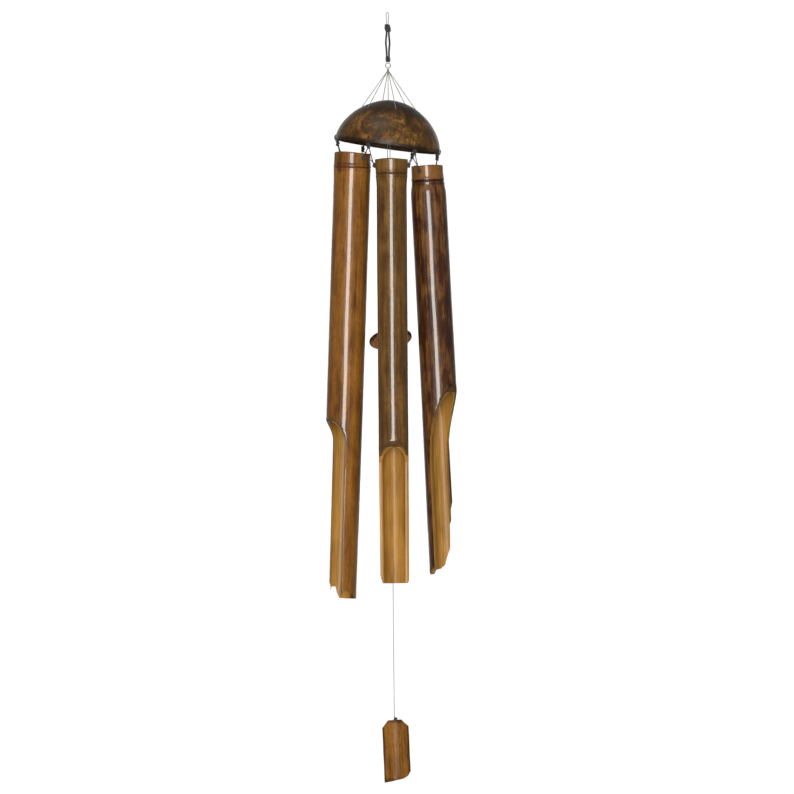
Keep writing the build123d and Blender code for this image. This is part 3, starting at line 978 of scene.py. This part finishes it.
def hang_cord_route(side):
    near, wide = side * CORD_HALF_SPACING, side * CORD_EYE_HALF_WIDTH
    bottom = HANG_KNOT_TOP - HANG_KNOT_HEIGHT
    points = [
        (near, 0, END_KNOT_TOP - 3.0),
        (near, 0, END_KNOT_TOP + 7.0),
        (wide, 0, END_KNOT_TOP + 15.5),
        (near, 0, bottom - 2.5),
        (near * 0.98, 0, bottom + 3.0),
    ]
    return [Vector(point) * MM for point in points]


def add_hang_cords():
    for side, name in ((-1, "hang_cord_left"), (1, "hang_cord_right")):
        path = route_points(hang_cord_route(side))
        rope_cord(f"{name}_strand", path, CORD_DIAMETER, name, "hanger")


def add_hang_thread():
    crown, foot = -LINE_DIAMETER / 2, HANG_KNOT_TOP - 3.0
    points = [(-0.6, 0, foot), (-1.5, 0, crown - 4.0), (-1.5, 0, crown), (1.5, 0, crown),
              (1.5, 0, crown - 4.0), (0.6, 0, foot)]
    add_line("hanging_thread", [Vector(point) * MM for point in points], "hang_thread", "hanger")


# ---- knots ----


def knot_size(height, radius, strand, turns):
    """A knot's size in metres, from millimetres, and how many turns of strand it has."""
    return height * MM, radius * MM, strand * MM, turns


HOLE_KNOT = knot_size(6.0, 2.3, 1.3, 3.3)
RIM_KNOT = knot_size(7.4, 2.5, 1.4, 4.2)
STOPPER_KNOT = knot_size(3.2, 1.7, 0.8, 3.1)
UPPER_KNOT = knot_size(6.6, 3.6, 2.2, 2.6)
SECOND_UPPER_KNOT = knot_size(6.2, 3.9, 2.2, 2.4)
LOWER_KNOT = knot_size(6.5, 3.1, 1.8, 3.6)
SAIL_KNOT = knot_size(4.4, 2.4, 1.3, 3.2)
TURN_STEPS = 22


def wound_knot(built, centre, height, radius, strand, turns, seed):
    """A knot: a rope wound round a core in crossing turns, pulled tight."""
    draw = random.Random(seed)
    core = bmesh.ops.create_uvsphere(built, u_segments=18, v_segments=12, radius=1.0)["verts"]
    waist = radius - strand * 0.6
    for vert in core:
        x, y, z = vert.co
        vert.co = centre + Vector((x * waist, y * waist, z * height * 0.5))
    path = []
    steps = int(turns * TURN_STEPS)
    for step in range(steps + 1):
        share = step / steps
        turn = 2 * math.pi * turns * share
        rise = math.sin(math.pi * (2 * share - 0.5)) * (height - strand) / 2
        rise += draw.uniform(-0.04, 0.04) * height
        swell = math.sqrt(max(1 - (rise / (height * 0.62)) ** 2, 0.15))
        reach = (radius - strand / 2) * swell
        path.append(centre + Vector((reach * math.cos(turn), reach * math.sin(turn), rise)))
    laid_rope(built, path, strand, pitch=3.0, step=strand * 0.22, sides=12)


def knot_piece(name, specs, material):
    built = bmesh.new()
    for number, spec in enumerate(specs):
        wound_knot(built, *spec, seed=11 + number)
    return soft_piece(built, name, material)


def add_black_knots():
    """The knots of the hanging cord, the upper one of two windings, and of the sail."""
    upper = centre_of("hang_knot")
    windings = [(upper + Vector((-0.4, 0, 1.6)) * MM, *UPPER_KNOT),
                (upper + Vector((0.4, 0, -1.6)) * MM, *SECOND_UPPER_KNOT)]
    for name, node, body, specs in (
        ("upper_knot", "hang_knot", "hanger", windings),
        ("lower_knot", "cord_end_knot", "hanger", [(centre_of("cord_end_knot"), *LOWER_KNOT)]),
        ("sail_top_knot", "sail_knot", "sail", [(centre_of("sail_knot"), *SAIL_KNOT)]),
    ):
        attach(knot_piece(name, specs, BLACK), body, node)


def rim_binding(angle):
    """The cord from a rim knot up inside the shell to its hole; at the sides, also over the edge."""
    top = rim_knot_centre(angle) + Vector((0, 0, 1.6 * MM))
    half = STRING_DIAMETER * 0.5
    wall_in, wall_out = DOME_RADIUS - DOME_WALL - half, DOME_RADIUS + half * 0.6
    inside = [(wall_in, -half), (wall_in, RIM_HOLE_HEIGHT * 0.5),
              (wall_in + 0.4, RIM_HOLE_HEIGHT), (wall_out - 1.0, RIM_HOLE_HEIGHT)]
    outside = [(wall_out - 1.0, RIM_HOLE_HEIGHT), (wall_out, RIM_HOLE_HEIGHT - 0.4),
               (wall_out + 0.3, RIM_HOLE_HEIGHT * 0.5), (wall_out - 0.2, -half * 0.6)]
    runs = [inside] + ([outside] if abs(math.sin(math.radians(angle))) > 0.9 else [])
    paths = []
    for run in runs:
        path = [DOME_PLACE @ (round_place(radius, angle, height) * MM) for radius, height in run]
        paths.append([top] + path if run is inside else path + [top])
    return paths


def add_rim_knots():
    built = bmesh.new()
    for number, angle in enumerate(RIM_ANGLES):
        centre = rim_knot_centre(angle)
        wound_knot(built, centre + Vector((0, 0, 0.8 * MM)), *RIM_KNOT, seed=40 + number)
        for path in rim_binding(angle):
            laid_rope(built, route_points(path), STRING_DIAMETER * MM, sides=12)
    attach(soft_piece(built, "rim_ties", BLACK), "dome", "rim_knots")


def add_nylon_knots():
    stoppers = [(support_ends(angle)[1], *STOPPER_KNOT) for angle in SUPPORT_ANGLES]
    attach(knot_piece("support_stoppers", stoppers, NYLON), "dome", "support_knots")
    for name, node, body in (
        ("gathering_knot", "line_knot", "line_swivel"),
        ("crown_stopper", "crown_knot", "crown_pivot"),
        ("disc_stopper", "clapper_stop_knot", "clapper"),
        ("disc_lower_knot", "clapper_knot", "sail_pivot"),
    ):
        size = top_of(node) - bottom_of(node)
        spec = (centre_of(node), size, size / 2, max(size * 0.24, 0.8 * MM), 3.4)
        attach(knot_piece(name, [spec], NYLON), body, node)


def add_lines():
    for number, angle in enumerate(SUPPORT_ANGLES, 1):
        start, end = support_ends(angle)
        add_line(f"suspension_line_{number}", straight(start, end), f"support_line_{number}", "dome")
    spots = (
        ("drop_line", "clapper_top_line", "dome"),
        ("clapper_strand_left", "clapper_line_left", "clapper"),
        ("clapper_strand_right", "clapper_line_right", "clapper"),
        ("sail_drop_line", "sail_line", "sail"),
    )
    for name, node, body in spots:
        middle = centre_of(node)
        top = Vector((middle.x, middle.y, top_of(node)))
        foot = Vector((middle.x, middle.y, bottom_of(node)))
        add_line(name, straight(top, foot), node, body)


# ---- ring, disc and sail ----


def add_ring():
    low, high = (Vector(corner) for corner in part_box("top_ring"))
    centre = (low + high) / 2
    wire = high.y - low.y
    radius = (high.x - low.x - wire) / 2
    built = bmesh.new()
    rows, sides, rings = 56, 14, []
    for row in range(rows):
        turn = 2 * math.pi * row / rows
        outward = Vector((math.cos(turn), 0, math.sin(turn)))
        ring = []
        for side in range(sides):
            around = 2 * math.pi * side / sides
            offset = outward * math.cos(around) + Vector((0, 1, 0)) * math.sin(around)
            ring.append(built.verts.new(centre + outward * radius + offset * wire / 2))
        rings.append(ring)
    for first, second in zip(rings, rings[1:] + rings[:1]):
        join_rings(built, first, second)
    mesh = to_mesh(built, "wire_ring")
    smooth(mesh, 80)
    attach(new_object("wire_ring", mesh, WIRE), "ring", "top_ring")


def add_disc():
    radius, half = DISC_DIAMETER / 2, DISC_THICKNESS / 2
    profile = [(1.5, half), (4.0, half + 0.15), (8.0, half + 0.1), (12.0, half + 0.05), (16.0, half)]
    profile += [(radius - 2.2, half - 0.1), (radius - 0.9, half - 0.5), (radius - 0.2, half - 1.3)]
    profile += [(radius, 0.9), (radius + 0.05, 0.0)]
    profile += [(r, -h) for r, h in profile[::-1][1:]]
    profile = [(r * MM, h * MM) for r, h in profile]
    profile.append(profile[0])
    mesh = lathe(profile, 72, lambda p: p * (1 + 0.006 * noise.noise(p * 60)))
    bmesh.ops.remove_doubles(mesh, verts=mesh.verts, dist=0.01 * MM)
    mesh = to_mesh(mesh, "disc")
    piece = new_object("wooden_disc", mesh, DISC_WOOD)
    smooth(mesh, 50)

    def tone(point):
        out = math.hypot(point.x, point.y) / MM
        return -1.3 * smooth_step(out, radius - 2.6, radius - 0.6)

    paint(mesh, tone)
    place = Matrix.Translation(Vector(DISC_CENTRE) * MM) @ turned(x=-DISC_FRONT_UP)
    place = place @ turned(y=-DISC_RIGHT_UP)
    settle(piece, place, "clapper", "clapper_disc")


SAIL_UPPER = [(-15.5, -9.5), (-8.5, -0.4), (7.0, 0.0), (15.5, -8.5)]
SAIL_LOWER = [(-15.5, -73.0), (-14.6, -73.2), (-9.0, -72.2),
              (7.5, -69.0), (12.5, -66.0), (15.5, -61.0)]


def height_on(outline, x):
    """The height of a broken line at x."""
    for (x0, z0), (x1, z1) in zip(outline, outline[1:]):
        if x <= x1:
            return z0 + (z1 - z0) * (x - x0) / (x1 - x0)
    return outline[-1][1]


def add_sail():
    """A slat split from a wide bamboo: curved across, corners trimmed, edges rounded."""
    columns, rows = 46, 60
    half = SAIL_WIDTH / 2
    built = bmesh.new()
    front, back = [], []
    for column in range(columns + 1):
        x = -half + SAIL_WIDTH * column / columns
        top, foot = height_on(SAIL_UPPER, x), height_on(SAIL_LOWER, x)
        sides = ([], [])
        for row in range(rows + 1):
            z = top + (foot - top) * row / rows
            ripple = noise.noise(Vector((x * 0.09, z * 0.03, 4.2))) * 0.35
            outer = SAIL_CURVE - math.sqrt(SAIL_CURVE**2 - x * x) + ripple
            inner = SAIL_CURVE - math.sqrt((SAIL_CURVE - SAIL_WALL) ** 2 - x * x * 0.82) + ripple * 0.5
            edge = 0.08 * math.sin(z * 0.2) * (abs(x) / half) ** 8
            sides[0].append(built.verts.new(Vector((x + edge, outer, z)) * MM))
            sides[1].append(built.verts.new(Vector((x + edge, inner, z)) * MM))
        front.append(sides[0])
        back.append(sides[1])
    for column in range(columns):
        left, right = (front[column], back[column]), (front[column + 1], back[column + 1])
        for row in range(rows):
            for near, far in zip(left, right):
                built.faces.new([near[row], far[row], far[row + 1], near[row + 1]])
        for row in (0, rows):
            built.faces.new([left[0][row], right[0][row], right[1][row], left[1][row]])
    for near, far in ((front[0], back[0]), (front[columns], back[columns])):
        for row in range(rows):
            built.faces.new([near[row], near[row + 1], far[row + 1], far[row]])
    piece = new_object("bamboo_sail", to_mesh(built, "sail"))
    soften(piece, 0.6 * MM, 3)
    mesh = dress(piece, SAIL_SKIN, INSIDE)
    for face in mesh.polygons:
        face.material_index = 0 if face.normal.y < -0.45 else 1
    smooth(mesh)

    def tone(point):
        x, z = point.x / MM, point.z / MM
        # The top and bottom ends are made darker; the darkening towards the two long edges is painted
        # shade where the curved slat turns away.
        ends = smooth_step(z, -5, 0) + smooth_step(-z, 66, 74)
        return -0.9 * ends - 1.1 * smooth_step(abs(x), half - 3.2, half)

    paint(mesh, tone)
    place = Matrix.Translation(Vector((0.9, -SAIL_WALL / 2, SAIL_TOP)) * MM) @ turned(y=-SAIL_LEAN)
    settle(piece, place, "sail", "sail")


# ---- studio ----


def area_light(name, place, target, size, power, colour=(1, 1, 1)):
    data = bpy.data.lights.new(name, "AREA")
    data.shape, data.size, data.size_y = "RECTANGLE", size[0], size[1]
    data.energy, data.color = power, colour
    light = linked(name, data)
    place = Vector(place)
    facing = (Vector(target) - place).to_track_quat("-Z", "Z").to_matrix().to_4x4()
    light.matrix_world = Matrix.Translation(place) @ facing
    light.visible_camera = False


def plain(name, colour):
    look = Look(name)
    place = look.add("ShaderNodeTexCoord").outputs["Object"]
    cloud = look.noise(place, 3.0, 2.0, 0.55)
    warm = tuple(value * 0.995 for value in colour)
    look.feed("Base Color", look.ramp(cloud, [(0.3, warm), (0.7, colour)]))
    look.set(Roughness=0.9)
    return look.material


def add_studio():
    """A pale floor that sweeps up into a backdrop, a tall strip light and a white surround."""
    built = bmesh.new()
    floor, front, back, bend, half, height, steps = -2.4, -9.0, 7.0, 0.9, 11.0, 8.0, 16
    outline = [(front, floor), (back - bend, floor)]
    for step in range(1, steps + 1):
        turn = math.pi / 2 * step / steps
        outline.append((back - bend + bend * math.sin(turn), floor + bend - bend * math.cos(turn)))
    outline.append((back, height))
    rows = [[built.verts.new((x, y, z)) for x in (-half, half)] for y, z in outline]
    for first, second in zip(rows, rows[1:]):
        built.faces.new([first[0], first[1], second[1], second[0]])
    mesh = to_mesh(built, "floor")
    mesh.shade_smooth()
    new_object("floor", mesh, plain("floor_white", (0.9, 0.9, 0.9)))
    area_light("strip", (-0.15, -3.4, -0.45), (0, 0, -0.45), (1.2, 2.6), 128, (1.0, 0.97, 0.92))
    area_light("top_panel", (-0.6, -1.2, 3.2), (0, 0, -0.3), (1.6, 1.6), 26)
    for side in (-1, 1):
        place, target = (side * 2.4, 4.9, 0.3), (side * 1.3, back, 0.3)
        area_light(f"backdrop_{side}", place, target, (1.2, 3.8), 76)
    world = bpy.data.worlds.new("white")
    world.use_nodes = True
    surround = world.node_tree.nodes["Background"]
    surround.inputs["Color"].default_value = (1, 1, 1, 1)
    surround.inputs["Strength"].default_value = 0.14
    bpy.context.scene.world = world
    bpy.context.scene.view_settings.view_transform = "Standard"


# ---- the whole scene ----

add_lines()
add_hang_cords()
add_hang_thread()
for number, bamboo in enumerate(TUBES):
    add_string(number, bamboo)
add_black_knots()
add_rim_knots()
add_nylon_knots()
add_ring()
add_dome()
for number, bamboo in enumerate(TUBES):
    add_tube(number, bamboo)
add_disc()
add_sail()
add_studio()
